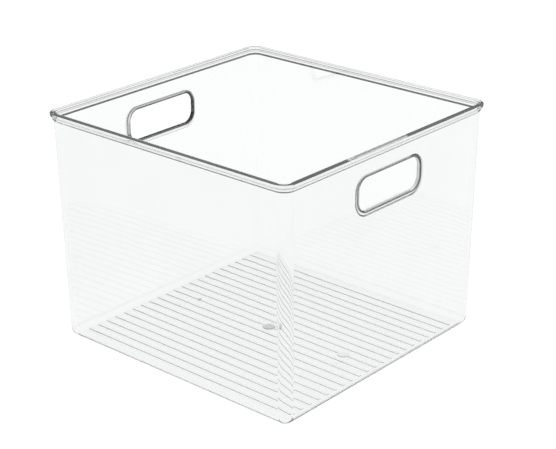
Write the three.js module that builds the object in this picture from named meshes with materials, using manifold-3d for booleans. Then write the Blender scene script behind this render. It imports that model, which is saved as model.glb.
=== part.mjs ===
// Clear storage bin for a fridge shelf: an open square box with a stepped lip round its top edge, a ribbed
// floor and a hand slot with a raised edge in each of its two side walls. The real bin is one clear moulding.
// Here it is cut along its own feature lines into floor, base edges, base corners, walls, corner posts, rim
// lengths, rim corners and hand-slot collars, so that each region is a closed solid with a name of its own.
//
// Millimetres, +Z up. The origin is on the standing surface, under the middle of the bin. The side walls
// with the hand slots face -X and +X, and the floor ribs run along X.

import * as THREE from 'three';
import { mergeVertices } from 'three/addons/utils/BufferGeometryUtils.js';
import Module from 'manifold-3d';

// ---- Driving dimensions -------------------------------------------------------------------------------

const WIDTH = 254; // over the lip, along X
const DEPTH = 248; // over the lip, along Y
const HEIGHT = 196;

const WALL = 2.2; // thickness of walls and corner posts
const WALL_INSET_TOP = 3; // outer face of the wall behind the edge of the lip, just under the lip
const WALL_INSET_FOOT = 6; // the same where the wall meets the rounded base edge
const CORNER_RADIUS_TOP = 9.5; // outer upright corner, just under the lip
const CORNER_RADIUS_FOOT = 8.5; // outer upright corner at the base

const BASE_RADIUS = 8; // outer rounding between wall and underside
const FLOOR = 2.6; // thickness of the floor between its ribs

const LIP_ROOT_Z = 189.2; // where the wall meets the lip's lower step
const LIP_STEP = 1.8; // inset of the upright face between the lip's two steps
const LIP_STEP_LOW_Z = 190.8; // lower and upper edge of that face
const LIP_STEP_HIGH_Z = 192.1;
const LIP_FACE_LOW_Z = 193.7; // lower edge of the lip's outer face
const LIP_EDGE = 0.5; // small rounding of the lip's top edges
const LIP_CORNER_RADIUS = CORNER_RADIUS_TOP + WALL_INSET_TOP;

const RIB_COUNT = 21;
const RIB_PITCH = 10;
const RIB_WIDTH = 3;
const RIB_HEIGHT = 0.4;
const RIB_LENGTH = 223;
const RIB_SEGMENTS = 4; // in the rounded back of a rib

// Low round marks on the floor's middle line, left by the mould: [place along X, radius, height].
const FLOOR_DISCS = [
  [0, 5.5, 0.5],
  [-81, 1.8, 0.5],
  [78, 5, 0.4],
];
const DISC_SEGMENTS = 24;
const SINK = 0.3; // how far ribs and marks reach down into the floor

const SLOT_LENGTH = 73.5; // narrowest part of a hand slot's opening, along Y
const SLOT_HEIGHT = 26;
const SLOT_RADIUS = 9;
const SLOT_CENTRE_Z = 161.8;
const SLOT_EDGE = 1.9; // rounding of the opening's edges
const BEAD_WIDTH = 3.6; // width of the raised edge round the opening
const BEAD_RISE = 1.8; // how far it stands in from the inner wall
const BEAD_DROP = 1; // how much lower its outline sits than the opening
const BEAD_EDGE = 1.5; // rounding of its inner edge

const SEAM_X = 112; // the regions meet in these planes
const SEAM_Y = 109;
const BASE_SEAM_Z = 10;
const RIM_SEAM_Z = 188.5;

const ARC_STEPS = 8; // segments in a quarter turn
const EDGE_STEPS = 3; // segments in a small rounding
const ROOM = 40; // how far a cutting shape runs past the object
const MERGE = 1e-4; // points closer than this are one point

// ---- Materials: one clear plastic, with a little more body where it is seen edge on ---------------------

function clearPlastic(color, roughness) {
  return new THREE.MeshStandardMaterial({ color, roughness, metalness: 0, transparent: true, opacity: 0.3 });
}

function panelPlastic() {
  return clearPlastic(0xf1f4f4, 0.05);
}

function edgePlastic() {
  return clearPlastic(0xd5dadb, 0.06);
}

// ---- Outlines and lofts -------------------------------------------------------------------------------

// A rounded rectangle at height z, counter-clockwise from above. `inset` is measured from the lip's edge.
function ring(inset, radius, z) {
  const points = [];
  const centreX = WIDTH / 2 - inset - radius;
  const centreY = DEPTH / 2 - inset - radius;
  const corners = [[centreX, centreY], [-centreX, centreY], [-centreX, -centreY], [centreX, -centreY]];
  corners.forEach(([cx, cy], quarter) => {
    for (let step = 0; step <= ARC_STEPS; step += 1) {
      const angle = ((quarter + step / ARC_STEPS) * Math.PI) / 2;
      points.push([cx + radius * Math.cos(angle), cy + radius * Math.sin(angle), z]);
    }
  });
  return points;
}

// A closed solid through a stack of rings, each with the same number of points, from low to high.
function loft(rings) {
  const count = rings[0].length;
  const positions = rings.flat(2);
  const indices = [];
  for (let level = 0; level < rings.length - 1; level += 1) {
    for (let i = 0; i < count; i += 1) {
      const a = level * count + i;
      const b = level * count + ((i + 1) % count);
      indices.push(a, b, b + count, a, b + count, a + count);
    }
  }
  const top = (rings.length - 1) * count;
  for (let i = 1; i < count - 1; i += 1) {
    indices.push(0, i + 1, i);
    indices.push(top, top + i, top + i + 1);
  }
  const geometry = new THREE.BufferGeometry();
  geometry.setAttribute('position', new THREE.Float32BufferAttribute(positions, 3));
  geometry.setIndex(indices);
  return geometry;
}

// Outer face of the wall at height z: its inset and its corner radius.
function wallSection(z) {
  const low = BASE_RADIUS;
  const up = (z - low) / (RIM_SEAM_Z - low);
  return {
    inset: THREE.MathUtils.lerp(WALL_INSET_FOOT, WALL_INSET_TOP, up),
    radius: THREE.MathUtils.lerp(CORNER_RADIUS_FOOT, CORNER_RADIUS_TOP, up),
  };
}

// Rings of a rounded base edge of radius `round` that starts at height `bottom`, `skin` inside the outside.
function roundedBase(bottom, round, skin) {
  const foot = wallSection(bottom + round);
  const rings = [];
  for (let step = 0; step <= ARC_STEPS; step += 1) {
    const angle = (step / ARC_STEPS) * (Math.PI / 2);
    const shift = round * (1 - Math.sin(angle));
    const z = bottom + round * (1 - Math.cos(angle));
    rings.push(ring(foot.inset + skin + shift, foot.radius - skin - shift, z));
  }
  return rings;
}

// A ring of the lip: its corners share their centres with the wall's.
function lipRing(inset, z) {
  return ring(inset, LIP_CORNER_RADIUS - inset, z);
}

function outerBody() {
  const rings = roundedBase(0, BASE_RADIUS, 0);
  rings.push(lipRing(WALL_INSET_TOP, RIM_SEAM_Z));
  rings.push(lipRing(WALL_INSET_TOP, LIP_ROOT_Z));
  rings.push(lipRing(LIP_STEP, LIP_STEP_LOW_Z));
  rings.push(lipRing(LIP_STEP, LIP_STEP_HIGH_Z));
  rings.push(lipRing(0, LIP_FACE_LOW_Z));
  rings.push(lipRing(0, HEIGHT - LIP_EDGE));
  rings.push(lipRing(LIP_EDGE, HEIGHT));
  return loft(rings);
}

function innerSpace() {
  const mouth = WALL_INSET_TOP + WALL;
  const rings = roundedBase(FLOOR, BASE_RADIUS - WALL, WALL);
  rings.push(lipRing(mouth, HEIGHT - LIP_EDGE));
  rings.push(lipRing(mouth - LIP_EDGE, HEIGHT));
  rings.push(lipRing(mouth - LIP_EDGE, HEIGHT + ROOM));
  return loft(rings);
}

// ---- Solids: three.js geometry in and out of manifold-3d ------------------------------------------------

const wasm = await Module();
wasm.setup();

function toSolid(source) {
  const bare = source.clone();
  bare.deleteAttribute('normal');
  bare.deleteAttribute('uv');
  const merged = mergeVertices(bare, MERGE);
  return new wasm.Manifold(
    new wasm.Mesh({
      numProp: 3,
      vertProperties: new Float32Array(merged.attributes.position.array),
      triVerts: new Uint32Array(merged.index.array),
    }),
  );
}

function toGeometry(solid) {
  const { vertProperties, triVerts } = solid.getMesh();
  const geometry = new THREE.BufferGeometry();
  geometry.setAttribute('position', new THREE.BufferAttribute(vertProperties, 3));
  geometry.setIndex(new THREE.BufferAttribute(triVerts, 1));
  geometry.computeVertexNormals();
  return geometry;
}

function boxSolid([x0, y0, z0], [x1, y1, z1]) {
  const box = new THREE.BoxGeometry(x1 - x0, y1 - y0, z1 - z0);
  box.translate((x0 + x1) / 2, (y0 + y1) / 2, (z0 + z1) / 2);
  return toSolid(box);
}

// ---- Hand slots ---------------------------------------------------------------------------------------

// Outline of the slot in the plane at x, grown by `grow` and lowered by `drop`.
function slotRing(grow, x, drop) {
  const points = [];
  const centreY = SLOT_LENGTH / 2 - SLOT_RADIUS;
  const centreZ = SLOT_HEIGHT / 2 - SLOT_RADIUS;
  const radius = SLOT_RADIUS + grow;
  const corners = [[centreY, centreZ], [-centreY, centreZ], [-centreY, -centreZ], [centreY, -centreZ]];
  corners.forEach(([cy, cz], quarter) => {
    for (let step = 0; step <= ARC_STEPS; step += 1) {
      const angle = ((quarter + step / ARC_STEPS) * Math.PI) / 2;
      const z = SLOT_CENTRE_Z - drop + cz + radius * Math.sin(angle);
      points.push([x, cy + radius * Math.cos(angle), z]);
    }
  });
  return points;
}

// A solid along X through outlines of the slot. `stations` lists [grow, x] outwards, for the right side.
function slotSolid(side, stations, drop) {
  const placed = stations.map(([grow, x]) => slotRing(grow, side * x, drop));
  return toSolid(loft(side > 0 ? placed : placed.reverse()));
}

// A rounding of this radius in EDGE_STEPS: how far it lies across and along from the corner it replaces.
function bends(radius) {
  const list = [];
  for (let step = 0; step <= EDGE_STEPS; step += 1) {
    const angle = (step / EDGE_STEPS) * (Math.PI / 2);
    list.push([radius * (1 - Math.cos(angle)), radius * (1 - Math.sin(angle))]);
  }
  return list;
}

const SLOT_OUTER_X = WIDTH / 2 - wallSection(SLOT_CENTRE_Z).inset;
const SLOT_INNER_X = SLOT_OUTER_X - WALL - BEAD_RISE;

// The room a collar takes up, with its rounded inner edge: what the wall gives way to.
function collarBlock(side) {
  const stations = bends(BEAD_EDGE).map(([across, along]) => [BEAD_WIDTH - across, SLOT_INNER_X + along]);
  stations.reverse();
  stations.push([BEAD_WIDTH, SLOT_OUTER_X + ROOM]);
  return slotSolid(side, stations, BEAD_DROP);
}

// The opening, with its rounded inner and outer edges.
function slotOpening(side) {
  const edge = bends(SLOT_EDGE);
  const inner = edge.map(([across, along]) => [across, SLOT_INNER_X + along]).reverse();
  const outer = edge.map(([across, along]) => [across, SLOT_OUTER_X - along]);
  const stations = [
    [SLOT_EDGE, SLOT_INNER_X - ROOM],
    ...inner,
    ...outer,
    [SLOT_EDGE, SLOT_OUTER_X + ROOM],
  ];
  return slotSolid(side, stations, 0);
}

// ---- Floor ribs and the round marks between them --------------------------------------------------------

// One rib along X with a rounded back.
function rib(y) {
  const section = new THREE.Shape();
  section.moveTo(RIB_WIDTH / 2, -SINK);
  section.lineTo(RIB_WIDTH / 2, 0);
  section.absellipse(0, 0, RIB_WIDTH / 2, RIB_HEIGHT, 0, Math.PI, false, 0);
  section.lineTo(-RIB_WIDTH / 2, -SINK);
  section.closePath();
  const bar = new THREE.ExtrudeGeometry(section, {
    depth: RIB_LENGTH,
    bevelEnabled: false,
    curveSegments: RIB_SEGMENTS,
  });
  bar.rotateX(Math.PI / 2);
  bar.rotateZ(Math.PI / 2);
  bar.translate(-RIB_LENGTH / 2, y, FLOOR);
  return toSolid(bar);
}

function floorDisc([x, radius, height]) {
  const disc = new THREE.CylinderGeometry(radius, radius, height + SINK, DISC_SEGMENTS);
  disc.rotateX(Math.PI / 2);
  disc.translate(x, 0, FLOOR + (height - SINK) / 2);
  return toSolid(disc);
}

// ---- Assembly -----------------------------------------------------------------------------------------

const bin = new THREE.Group();
bin.name = 'fridge_bin';

function addNode(name, solid, material) {
  const mesh = new THREE.Mesh(toGeometry(solid), material);
  mesh.name = name;
  bin.add(mesh);
}

const outer = toSolid(outerBody());
const shell = outer.subtract(toSolid(innerSpace()));

const SIDES = { left: [-1, 0], right: [1, 0], front: [0, -1], back: [0, 1] };
const CORNERS = {
  front_left: [-1, -1],
  front_right: [1, -1],
  back_right: [1, 1],
  back_left: [-1, 1],
};

// Range along one axis of the region that lies at -1, 0 or 1 of it.
function span(where, seam, limit) {
  if (where === 0) return [-seam, seam];
  return where > 0 ? [seam, limit] : [-limit, -seam];
}

// The part of the shell in one region of the plan, between two heights.
function region([whereX, whereY], low, high) {
  const [x0, x1] = span(whereX, SEAM_X, WIDTH / 2 + ROOM);
  const [y0, y1] = span(whereY, SEAM_Y, DEPTH / 2 + ROOM);
  return shell.intersect(boxSolid([x0, y0, low], [x1, y1, high]));
}

let floor = region([0, 0], -ROOM, BASE_SEAM_Z);
for (const mark of FLOOR_DISCS) {
  floor = floor.add(floorDisc(mark));
}
for (let i = 0; i < RIB_COUNT; i += 1) {
  floor = floor.add(rib((i - (RIB_COUNT - 1) / 2) * RIB_PITCH));
}
addNode('floor_panel', floor, panelPlastic());

for (const [name, place] of Object.entries(SIDES)) {
  addNode(`base_edge_${name}`, region(place, -ROOM, BASE_SEAM_Z), edgePlastic());
  const [sideX] = place;
  let wall = region(place, BASE_SEAM_Z, RIM_SEAM_Z);
  if (sideX !== 0) {
    const block = collarBlock(sideX);
    const collar = block.intersect(outer).subtract(slotOpening(sideX));
    wall = wall.subtract(block);
    addNode(`handle_collar_${name}`, collar, edgePlastic());
  }
  addNode(`wall_${name}`, wall, panelPlastic());
  addNode(`rim_${name}`, region(place, RIM_SEAM_Z, HEIGHT + ROOM), edgePlastic());
}

for (const [name, place] of Object.entries(CORNERS)) {
  addNode(`base_corner_${name}`, region(place, -ROOM, BASE_SEAM_Z), edgePlastic());
  addNode(`corner_post_${name}`, region(place, BASE_SEAM_Z, RIM_SEAM_Z), panelPlastic());
  addNode(`rim_corner_${name}`, region(place, RIM_SEAM_Z, HEIGHT + ROOM), edgePlastic());
}

export default bin;
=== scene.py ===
"""Looks for the clear fridge bin: one clear moulding in place of the CAD regions it was cut into."""

import math

import bmesh
import bpy
from mathutils import Matrix, Vector


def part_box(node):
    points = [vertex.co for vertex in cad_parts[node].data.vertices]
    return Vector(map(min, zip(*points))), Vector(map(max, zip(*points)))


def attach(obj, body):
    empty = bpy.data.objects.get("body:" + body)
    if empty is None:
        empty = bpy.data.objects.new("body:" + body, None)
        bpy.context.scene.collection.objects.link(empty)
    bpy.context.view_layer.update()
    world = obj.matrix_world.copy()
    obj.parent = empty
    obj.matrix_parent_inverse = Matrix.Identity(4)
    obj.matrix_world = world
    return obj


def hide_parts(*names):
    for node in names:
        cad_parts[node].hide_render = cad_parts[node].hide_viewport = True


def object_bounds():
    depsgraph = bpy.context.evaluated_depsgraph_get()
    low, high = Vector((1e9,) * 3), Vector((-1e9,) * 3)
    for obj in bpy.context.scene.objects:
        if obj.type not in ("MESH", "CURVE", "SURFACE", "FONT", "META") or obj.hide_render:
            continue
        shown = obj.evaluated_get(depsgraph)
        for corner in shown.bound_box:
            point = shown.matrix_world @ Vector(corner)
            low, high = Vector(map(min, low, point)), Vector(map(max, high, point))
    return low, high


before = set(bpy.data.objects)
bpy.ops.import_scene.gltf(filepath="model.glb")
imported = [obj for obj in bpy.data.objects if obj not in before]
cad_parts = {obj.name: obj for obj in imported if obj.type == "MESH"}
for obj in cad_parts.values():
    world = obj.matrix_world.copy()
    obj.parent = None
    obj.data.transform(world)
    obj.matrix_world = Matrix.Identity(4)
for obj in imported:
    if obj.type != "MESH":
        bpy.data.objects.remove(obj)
cad_box = [list(corner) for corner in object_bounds()]

MM = 0.001  # lengths below are in millimetres unless a name ends in _M


# ---- Sizes read from the frame --------------------------------------------------------------------------

def box_mm(node):
    """Lowest and highest corners of a CAD node, in millimetres."""
    low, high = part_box(node)
    return low / MM, high / MM


HIGH = Vector(cad_box[1]) / MM
HALF_WIDTH = HIGH.x
HALF_DEPTH = HIGH.y
HEIGHT = HIGH.z
LIP_SEAM_Z = box_mm("rim_right")[0].z  # top of the wall's taper, where the rim nodes start

# ---- Sizes of the moulding, the same as in the CAD ------------------------------------------------------

WALL = 2.2
FLOOR = 2.6
BASE_RADIUS = 8.0
CORNER_RADIUS_TOP = 9.5
CORNER_RADIUS_FOOT = 8.5
WALL_INSET_TOP = 3.0
WALL_INSET_FOOT = 6.0

LIP_ROOT_Z = 189.2  # where the wall meets the lip's lower step
LIP_STEP = 1.8  # inset of the upright face between its two steps
LIP_CORNERS = (  # inset, height and rounding, up the outside and over the top
    (WALL_INSET_TOP, LIP_ROOT_Z, 0.5),
    (LIP_STEP, 190.8, 0.8),
    (LIP_STEP, 192.1, 0.6),
    (0.0, 193.7, 1.4),
    (0.0, HEIGHT, 0.5),
    (WALL_INSET_TOP + WALL, HEIGHT, 0.5),
)

RIB_COUNT = 21
RIB_PITCH = 10.0
RIB_WIDTH = 3.0
RIB_HEIGHT = 0.4
RIB_LENGTH = 223.0
FLOOR_DISCS = ((0.0, 5.5, 0.5), (-81.0, 1.8, 0.5), (78.0, 5.0, 0.4))  # place along X, radius, height
SINK = 0.4  # how far ribs and marks reach down into the floor

SLOT_LENGTH = 73.5
SLOT_HEIGHT = 26.0
SLOT_RADIUS = 9.0
SLOT_CENTRE_Z = 161.8
SLOT_EDGE = 1.9  # rounding of the opening's edges
BEAD_WIDTH = 3.6  # of the raised edge round the opening
BEAD_RISE = 1.8  # how far it stands in from the inner wall
BEAD_DROP = 1.0  # how much lower its outline sits than the opening
BEAD_EDGE = 1.5  # rounding of its inner edge
BEAD_FILLET = 0.6  # hollow rounding between it and the wall
BEAD_ROOT = WALL / 4  # how far its foot reaches into the wall

ARC_STEPS = 14  # segments in a quarter turn of the upright corners
EDGE_STEPS = 5  # segments in a small rounding
ROOM = 3.0  # how far a cutting shape runs past the surface it cuts
SLIVER_M = 2e-6  # faces thinner than this are merged into their neighbours
MERGE_M = 1e-6  # points closer than this are one point
LEAST_RADIUS = 0.05  # keeps corners round where the base curves in past their centres
SHARP_EDGE = math.radians(38.0)  # faces that meet at more than this keep a hard edge
NORMAL_WEIGHT = 50  # how far large faces lead when normals are evened out

# ---- Camera ---------------------------------------------------------------------------------------------

VIEW_AZIMUTH = math.radians(41.49)
VIEW_ELEVATION = math.radians(22.75)
VIEW_ROLL = math.radians(-0.40)
VIEW_DISTANCE = 1288.2
VIEW_AIM = Vector((0.0, 0.0, 100.0))
VIEW_SHIFT_RIGHT = 7.42
VIEW_SHIFT_UP = -4.58
SENSOR_WIDTH = 36.0
LENS = 102.1


def make_camera():
    back = Vector((
        math.sin(VIEW_AZIMUTH) * math.cos(VIEW_ELEVATION),
        -math.cos(VIEW_AZIMUTH) * math.cos(VIEW_ELEVATION),
        math.sin(VIEW_ELEVATION),
    ))
    level_right = Vector((math.cos(VIEW_AZIMUTH), math.sin(VIEW_AZIMUTH), 0.0))
    level_up = back.cross(level_right)
    right = level_right * math.cos(VIEW_ROLL) + level_up * math.sin(VIEW_ROLL)
    up = level_up * math.cos(VIEW_ROLL) - level_right * math.sin(VIEW_ROLL)
    place = VIEW_AIM + right * VIEW_SHIFT_RIGHT + up * VIEW_SHIFT_UP + back * VIEW_DISTANCE
    data = bpy.data.cameras.new("camera")
    data.sensor_width = SENSOR_WIDTH
    data.lens = LENS
    data.clip_end = 50.0
    camera = bpy.data.objects.new("camera", data)
    matrix = Matrix((right, up, back)).transposed().to_4x4()
    matrix.translation = place * MM
    camera.matrix_world = matrix
    bpy.context.scene.collection.objects.link(camera)
    bpy.context.scene.camera = camera


# ---- Mesh helpers ---------------------------------------------------------------------------------------

def mesh_object(name, points, faces):
    """An object from points in millimetres and faces, with its normals facing out."""
    mesh = bpy.data.meshes.new(name)
    mesh.from_pydata([tuple(value * MM for value in point) for point in points], [], faces)
    work = bmesh.new()
    work.from_mesh(mesh)
    bmesh.ops.remove_doubles(work, verts=work.verts, dist=MERGE_M)
    bmesh.ops.recalc_face_normals(work, faces=work.faces)
    work.to_mesh(mesh)
    work.free()
    piece = bpy.data.objects.new(name, mesh)
    bpy.context.scene.collection.objects.link(piece)
    return piece


def loft(name, rings):
    """A closed solid through a stack of rings, each with the same number of points."""
    count = len(rings[0])
    points = [point for ring in rings for point in ring]
    faces = []
    for level in range(len(rings) - 1):
        for i in range(count):
            a = level * count + i
            b = level * count + (i + 1) % count
            faces.append((a, b, b + count, a + count))
    faces.append(tuple(reversed(range(count))))
    faces.append(tuple(range(len(points) - count, len(points))))
    return mesh_object(name, points, faces)


def combine(target, tool, operation):
    """Joins or cuts target with tool, and removes tool."""
    step = target.modifiers.new(operation.lower(), "BOOLEAN")
    step.object = tool
    step.operation = operation
    step.solver = "EXACT"
    graph = bpy.context.evaluated_depsgraph_get()
    mesh = bpy.data.meshes.new_from_object(target.evaluated_get(graph))
    target.modifiers.clear()
    target.data = mesh
    bpy.data.objects.remove(tool)


def quarter_corners(half_x, half_y, radius, steps):
    """Points round a rounded rectangle, counter-clockwise, with its centre at the origin."""
    points = []
    for quarter, (sign_x, sign_y) in enumerate(((1, 1), (-1, 1), (-1, -1), (1, -1))):
        for step in range(steps + 1):
            angle = (quarter + step / steps) * math.pi / 2
            points.append((
                sign_x * (half_x - radius) + radius * math.cos(angle),
                sign_y * (half_y - radius) + radius * math.sin(angle),
            ))
    return points


def round_corner(before, corner, after, radius, steps=EDGE_STEPS):
    """Points of a rounding of the corner between two straight lines, in the plane of the profile."""
    to_before = (Vector(before) - Vector(corner)).normalized()
    to_after = (Vector(after) - Vector(corner)).normalized()
    half = to_before.angle(to_after) / 2
    centre = Vector(corner) + (to_before + to_after).normalized() * radius / math.sin(half)
    start = Vector(corner) + to_before * radius / math.tan(half) - centre
    end = Vector(corner) + to_after * radius / math.tan(half) - centre
    turn = start.angle(end)
    points = []
    for step in range(steps + 1):
        share = step / steps
        spoke = (start * math.sin((1 - share) * turn) + end * math.sin(share * turn)) / math.sin(turn)
        points.append(tuple(centre + spoke))
    return points


# ---- The moulding ---------------------------------------------------------------------------------------

def wall_section(z):
    """Inset and corner radius of the wall's outer face at height z."""
    up = (z - BASE_RADIUS) / (LIP_SEAM_Z - BASE_RADIUS)
    inset = WALL_INSET_FOOT + (WALL_INSET_TOP - WALL_INSET_FOOT) * up
    radius = CORNER_RADIUS_FOOT + (CORNER_RADIUS_TOP - CORNER_RADIUS_FOOT) * up
    return inset, radius


def plan_ring(inset, radius, z):
    outline = quarter_corners(HALF_WIDTH - inset, HALF_DEPTH - inset, radius, ARC_STEPS)
    return [(x, y, z) for x, y in outline]


def rounded_base(bottom, rounding, skin):
    """Rings of the rounded base edge that starts at height bottom, skin inside the outer face."""
    inset, radius = wall_section(bottom + rounding)
    steps = 2 * EDGE_STEPS
    rings = []
    for step in range(steps + 1):
        angle = step / steps * math.pi / 2
        shift = rounding * (1 - math.sin(angle))
        z = bottom + rounding * (1 - math.cos(angle))
        corner = max(LEAST_RADIUS, radius - skin - shift)
        rings.append(plan_ring(inset + skin + shift, corner, z))
    return rings


def lip_profile():
    """Insets and heights up the outside of the lip, and down its inside to the inner wall."""
    corners = [(WALL_INSET_TOP, LIP_ROOT_Z - BASE_RADIUS)]
    corners += [(inset, z) for inset, z, rounding in LIP_CORNERS]
    corners.append((WALL_INSET_TOP + WALL, LIP_ROOT_Z - BASE_RADIUS))
    points = []
    for i in range(len(LIP_CORNERS)):
        points += round_corner(*corners[i:i + 3], LIP_CORNERS[i][2])
    return points


def make_shell():
    rings = rounded_base(0.0, BASE_RADIUS, 0.0)
    lip_radius = CORNER_RADIUS_TOP + WALL_INSET_TOP
    rings += [plan_ring(inset, lip_radius - inset, z) for inset, z in lip_profile()]
    rings += reversed(rounded_base(FLOOR, BASE_RADIUS - WALL, WALL))
    return loft("bin_body", rings)


def slot_ring(grow, x, drop=0.0):
    """Outline of the hand slot in the plane at x, grown by grow and lowered by drop."""
    outline = quarter_corners(SLOT_LENGTH / 2 + grow, SLOT_HEIGHT / 2 + grow, SLOT_RADIUS + grow, ARC_STEPS)
    return [(x, y, z + SLOT_CENTRE_Z - drop) for y, z in outline]


def bend(radius, share):
    """How far a rounding of this radius has turned away at share of its quarter turn: across and along."""
    angle = share * math.pi / 2
    return radius * (1 - math.cos(angle)), radius * (1 - math.sin(angle))


def add_hand_slot(body, side):
    """Adds the bead inside the wall on this side, and cuts the opening through both."""
    outer_x = HALF_WIDTH - wall_section(SLOT_CENTRE_Z)[0]
    wall_x = outer_x - WALL
    inner_x = wall_x - BEAD_RISE
    shares = [step / EDGE_STEPS for step in range(EDGE_STEPS + 1)]

    bead = []
    for share in reversed(shares):
        across, along = bend(BEAD_EDGE, share)
        bead.append((BEAD_WIDTH - across, inner_x + along))
    for share in shares[:-1]:
        across, along = bend(BEAD_FILLET, share)
        bead.append((BEAD_WIDTH + across, wall_x - along))
    bead.append((BEAD_WIDTH + BEAD_FILLET, wall_x + BEAD_ROOT))
    rings = [slot_ring(grow, side * x, BEAD_DROP) for grow, x in bead]
    combine(body, loft("bead", rings), "UNION")

    opening = [(SLOT_EDGE, inner_x - ROOM)]
    for share in reversed(shares):
        across, along = bend(SLOT_EDGE, share)
        opening.append((across, inner_x + along))
    for share in shares:
        across, along = bend(SLOT_EDGE, share)
        opening.append((across, outer_x - along))
    opening.append((SLOT_EDGE + ROOM, outer_x + ROOM))
    rings = [slot_ring(grow, side * x) for grow, x in opening]
    combine(body, loft("opening", rings), "DIFFERENCE")


def make_ribs():
    steps = 2 * EDGE_STEPS
    half = RIB_WIDTH / 2
    section = [(-half, -SINK)]
    for step in range(steps + 1):
        angle = math.pi * (1 - step / steps)
        section.append((half * math.cos(angle), RIB_HEIGHT * math.sin(angle)))
    section.append((half, -SINK))
    count = len(section)
    points = []
    faces = []
    for index in range(RIB_COUNT):
        y = (index - (RIB_COUNT - 1) / 2) * RIB_PITCH
        first = len(points)
        for x in (-RIB_LENGTH / 2, RIB_LENGTH / 2):
            points += [(x, y + across, FLOOR + up) for across, up in section]
        for i in range(count):
            a = first + i
            b = first + (i + 1) % count
            faces.append((a, b, b + count, a + count))
        faces.append(tuple(range(first, first + count)))
        faces.append(tuple(range(first + count, first + 2 * count)))
    return mesh_object("ribs", points, faces)


def make_disc(x, radius, height):
    """A low round mark on the floor's middle line, with a rounded upper edge."""
    levels = [(radius, -SINK), (radius, 0.0)]
    for step in range(1, EDGE_STEPS + 1):
        across, along = bend(height, 1 - step / EDGE_STEPS)
        levels.append((radius - along, height - across))
    rings = []
    for size, up in levels:
        outline = quarter_corners(size, size, size, ARC_STEPS)
        rings.append([(x + across, y, FLOOR + up) for across, y in outline])
    return loft("mark", rings)


def shade(body):
    """Smooth shading with hard edges, after slivers left by the joins and cuts are gone."""
    work = bmesh.new()
    work.from_mesh(body.data)
    bmesh.ops.dissolve_degenerate(work, edges=work.edges, dist=SLIVER_M)
    for face in work.faces:
        face.smooth = True
    for edge in work.edges:
        edge.smooth = len(edge.link_faces) == 2 and edge.calc_face_angle(0.0) < SHARP_EDGE
    work.to_mesh(body.data)
    work.free()
    normals = body.modifiers.new("even_normals", "WEIGHTED_NORMAL")
    normals.keep_sharp = True
    normals.weight = NORMAL_WEIGHT


# ---- Nodes ----------------------------------------------------------------------------------------------

def math_node(tree, operation, *values):
    """A Math node with these inputs, which are numbers or other nodes' outputs."""
    node = tree.nodes.new("ShaderNodeMath")
    node.operation = operation
    for socket, value in zip(node.inputs, values):
        if isinstance(value, (int, float)):
            socket.default_value = value
        else:
            tree.links.new(value, socket)
    return node.outputs[0]


def range_node(tree, value, start, end, low, high, change="SMOOTHSTEP"):
    """A change from low to high as the value goes from start to end."""
    node = tree.nodes.new("ShaderNodeMapRange")
    node.interpolation_type = change
    node.inputs["From Min"].default_value = start
    node.inputs["From Max"].default_value = end
    node.inputs["To Min"].default_value = low
    node.inputs["To Max"].default_value = high
    tree.links.new(value, node.inputs["Value"])
    return node.outputs["Result"]


def noise_node(tree, place, scale, detail):
    node = tree.nodes.new("ShaderNodeTexNoise")
    node.inputs["Scale"].default_value = scale
    node.inputs["Detail"].default_value = detail
    tree.links.new(place, node.inputs["Vector"])
    return node.outputs["Fac"]


def mix_node(tree, share, colours):
    """A blend of two colours, which are tuples or other nodes' outputs."""
    node = tree.nodes.new("ShaderNodeMix")
    node.data_type = "RGBA"
    tree.links.new(share, node.inputs["Factor"])
    for name, colour in zip("AB", colours):
        if isinstance(colour, tuple):
            node.inputs[name].default_value = (*colour, 1.0)
        else:
            tree.links.new(colour, node.inputs[name])
    return node.outputs["Result"]


# ---- Materials ------------------------------------------------------------------------------------------

CLEAR_IOR = 1.57
CLEAR_TINT = (0.985, 0.99, 0.99)
HAZY_TINT = (0.975, 0.98, 0.98)
HAZE_SCALE = 14.0
HAZE_DETAIL = 3.0
HAZE_RANGE = (0.35, 0.65)  # noise values between which clear turns to hazy
POLISH_RANGE = (0.45, 0.75)  # noise values between which the polish drops
DULLEST = 0.03  # roughness of the least polished patches
WAVE_SCALE = 45.0
WAVE_DETAIL = 1.0
WAVE_STRENGTH = 0.25
WAVE_HEIGHT_M = 0.0002
ABSORPTION_COLOR = (0.59, 0.605, 0.61)
ABSORPTION_DENSITY = 31.0  # per metre

# Painted shade: the thick edge round a hand slot is darkened in its colour, to stand for the dark outline
# that such an edge shows in clear plastic.
SLOT_PAINTED_SHADE = (0.03, 0.032, 0.032)
OPENING_BAND = (0.0, 0.7, 1.4, 2.3)  # distances outside the opening where its painted shade starts, is full and ends
OPENING_SHADE_SHARE = 1.0
BEAD_BAND = (3.0, 3.3, 3.5, 3.9)  # the same for the bead's outer edge
BEAD_SHADE_SHARE = 0.6
MARK_SHADE_SHARES = (0.42, 0.75, 0.12)  # how far each round floor mark is darkened by painted shade, in the order of FLOOR_DISCS
MARK_FADE = 0.8  # width of the soft edge of that painted shade
MARK_ROOM = 1.0  # how far above a mark its painted shade still holds


def slot_distance(tree, y, z, centre_z):
    """Distance of a surface point outside the hand slot's outline centred at centre_z, in metres."""
    half_y = (SLOT_LENGTH / 2 - SLOT_RADIUS) * MM
    half_z = (SLOT_HEIGHT / 2 - SLOT_RADIUS) * MM
    up = math_node(tree, "SUBTRACT", z, centre_z * MM)
    squares = []
    for value, half in ((y, half_y), (up, half_z)):
        size = math_node(tree, "ABSOLUTE", value)
        past = math_node(tree, "MAXIMUM", math_node(tree, "SUBTRACT", size, half), 0.0)
        squares.append(math_node(tree, "MULTIPLY", past, past))
    reach = math_node(tree, "SQRT", math_node(tree, "ADD", *squares))
    return math_node(tree, "SUBTRACT", reach, SLOT_RADIUS * MM)


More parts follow.
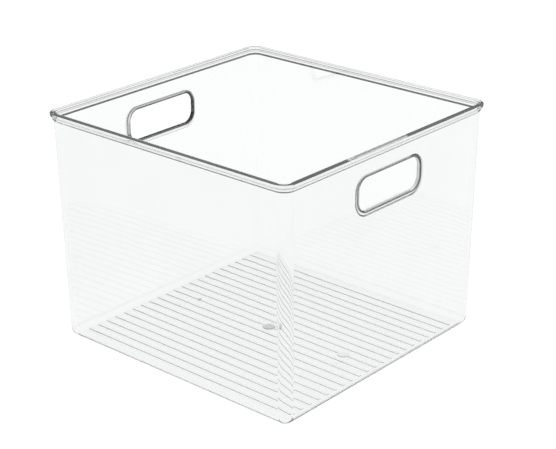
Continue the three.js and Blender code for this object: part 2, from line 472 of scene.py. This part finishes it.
def band(tree, distance, limits, share):
    """Share of painted shade that rises and falls again over the four limits, in millimetres."""
    start, full, fade, end = [limit * MM for limit in limits]
    rise = range_node(tree, distance, start, full, 0.0, share)
    fall = range_node(tree, distance, fade, end, 1.0, 0.0)
    return math_node(tree, "MULTIPLY", rise, fall)


def mark_painted_shade(tree, split, mark, share):
    """Painted shade on one round floor mark, nought on everything above the floor."""
    place, radius, height = mark
    across = math_node(tree, "SUBTRACT", split.outputs["X"], place * MM)
    along = split.outputs["Y"]
    square = math_node(
        tree,
        "ADD",
        math_node(tree, "MULTIPLY", across, across),
        math_node(tree, "MULTIPLY", along, along),
    )
    distance = math_node(tree, "SQRT", square)
    spot = range_node(tree, distance, (radius - MARK_FADE) * MM, radius * MM, share, 0.0)
    low = math_node(tree, "LESS_THAN", split.outputs["Z"], (FLOOR + height + MARK_ROOM) * MM)
    return math_node(tree, "MULTIPLY", spot, low)


def painted_shade_share(tree, place):
    """How far a point of the surface is darkened by painted shade, by its place on the bin: round the hand
    slots and on the round floor marks.
    """
    split = tree.nodes.new("ShaderNodeSeparateXYZ")
    tree.links.new(place, split.inputs["Vector"])
    across = split.outputs["Y"]
    up = split.outputs["Z"]
    opening = slot_distance(tree, across, up, SLOT_CENTRE_Z)
    bead = slot_distance(tree, across, up, SLOT_CENTRE_Z - BEAD_DROP)
    share = math_node(
        tree,
        "MAXIMUM",
        band(tree, opening, OPENING_BAND, OPENING_SHADE_SHARE),
        band(tree, bead, BEAD_BAND, BEAD_SHADE_SHARE),
    )
    # Painted shade on the round floor marks, added to that round the hand slots.
    for mark, mark_shade in zip(FLOOR_DISCS, MARK_SHADE_SHARES):
        share = math_node(tree, "MAXIMUM", share, mark_painted_shade(tree, split, mark, mark_shade))
    return share


def clear_plastic():
    """Clear moulded plastic: faint haze in patches, the slight waviness of a moulded wall, and a
    little absorption, which greys it where it is seen edge on. Its colour also carries painted shade
    round the hand slots and on the round floor marks."""
    material = bpy.data.materials.new("clear_plastic")
    material.use_nodes = True
    tree = material.node_tree
    shader = tree.nodes["Principled BSDF"]
    shader.inputs["Transmission Weight"].default_value = 1.0
    shader.inputs["IOR"].default_value = CLEAR_IOR
    place = tree.nodes.new("ShaderNodeTexCoord").outputs["Object"]

    haze = noise_node(tree, place, HAZE_SCALE, HAZE_DETAIL)
    hazy = range_node(tree, haze, *HAZE_RANGE, 0.0, 1.0, "LINEAR")
    colour = mix_node(tree, hazy, (CLEAR_TINT, HAZY_TINT))
    # Painted shade: the colour is darkened round the hand slots and on the round floor marks.
    colour = mix_node(tree, painted_shade_share(tree, place), (colour, SLOT_PAINTED_SHADE))
    tree.links.new(colour, shader.inputs["Base Color"])
    polish = range_node(tree, haze, *POLISH_RANGE, 0.0, DULLEST, "LINEAR")
    tree.links.new(polish, shader.inputs["Roughness"])

    bump = tree.nodes.new("ShaderNodeBump")
    bump.inputs["Strength"].default_value = WAVE_STRENGTH
    bump.inputs["Distance"].default_value = WAVE_HEIGHT_M
    tree.links.new(noise_node(tree, place, WAVE_SCALE, WAVE_DETAIL), bump.inputs["Height"])
    tree.links.new(bump.outputs["Normal"], shader.inputs["Normal"])

    absorb = tree.nodes.new("ShaderNodeVolumeAbsorption")
    absorb.inputs["Color"].default_value = (*ABSORPTION_COLOR, 1.0)
    absorb.inputs["Density"].default_value = ABSORPTION_DENSITY
    tree.links.new(absorb.outputs["Volume"], tree.nodes["Material Output"].inputs["Volume"])
    return material


# ---- Studio ---------------------------------------------------------------------------------------------

FLOOR_SIZE_M = 12.0
FLOOR_DROP_M = 0.0005
FLOOR_GLOW = 1.03  # brightness of the white light table the bin stands on

HORIZON_STRENGTH = 0.10  # of the studio round the bin, at its own level
SKY_STRENGTH = 0.85  # of the broad light overhead
SKY_START = 0.2  # where that light starts and is full, as the sine of the height above level
SKY_FULL = 0.35
LIGHT_BOUNCES = 96  # light runs a long way inside a clear wall


def make_floor():
    half = FLOOR_SIZE_M / 2
    mesh = bpy.data.meshes.new("studio_floor")
    corners = [(-half, -half), (half, -half), (half, half), (-half, half)]
    mesh.from_pydata([(x, y, -FLOOR_DROP_M) for x, y in corners], [], [(0, 1, 2, 3)])
    floor = bpy.data.objects.new("studio_floor", mesh)
    bpy.context.scene.collection.objects.link(floor)
    material = bpy.data.materials.new("pale_sweep")
    material.use_nodes = True
    tree = material.node_tree
    shader = tree.nodes["Principled BSDF"]
    shader.inputs["Base Color"].default_value = (0.0, 0.0, 0.0, 1.0)
    shader.inputs["Roughness"].default_value = 1.0
    shader.inputs["Specular IOR Level"].default_value = 0.0
    shader.inputs["Emission Color"].default_value = (1.0, 1.0, 1.0, 1.0)
    shader.inputs["Emission Strength"].default_value = FLOOR_GLOW
    mesh.materials.append(material)


def make_light():
    """A broad soft light overhead, and a dimmer studio round it at the level of the bin."""
    world = bpy.data.worlds.new("studio")
    world.use_nodes = True
    tree = world.node_tree
    background = tree.nodes["Background"]
    background.inputs["Color"].default_value = (1.0, 1.0, 1.0, 1.0)
    direction = tree.nodes.new("ShaderNodeTexCoord")
    split = tree.nodes.new("ShaderNodeSeparateXYZ")
    tree.links.new(direction.outputs["Generated"], split.inputs["Vector"])
    height = split.outputs["Z"]
    strength = range_node(tree, height, SKY_START, SKY_FULL, HORIZON_STRENGTH, SKY_STRENGTH)
    tree.links.new(strength, background.inputs["Strength"])
    bpy.context.scene.world = world


# ---- Scene ----------------------------------------------------------------------------------------------

make_camera()

body = make_shell()
for side in (1, -1):
    add_hand_slot(body, side)
combine(body, make_ribs(), "UNION")
for mark in FLOOR_DISCS:
    combine(body, make_disc(*mark), "UNION")
shade(body)
body.data.materials.clear()
body.data.materials.append(clear_plastic())
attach(body, "root")
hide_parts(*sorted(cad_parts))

make_floor()
make_light()
scene = bpy.context.scene
scene.view_settings.view_transform = "Standard"
scene.cycles.max_bounces = LIGHT_BOUNCES
scene.cycles.transmission_bounces = LIGHT_BOUNCES
scene.cycles.glossy_bounces = LIGHT_BOUNCES
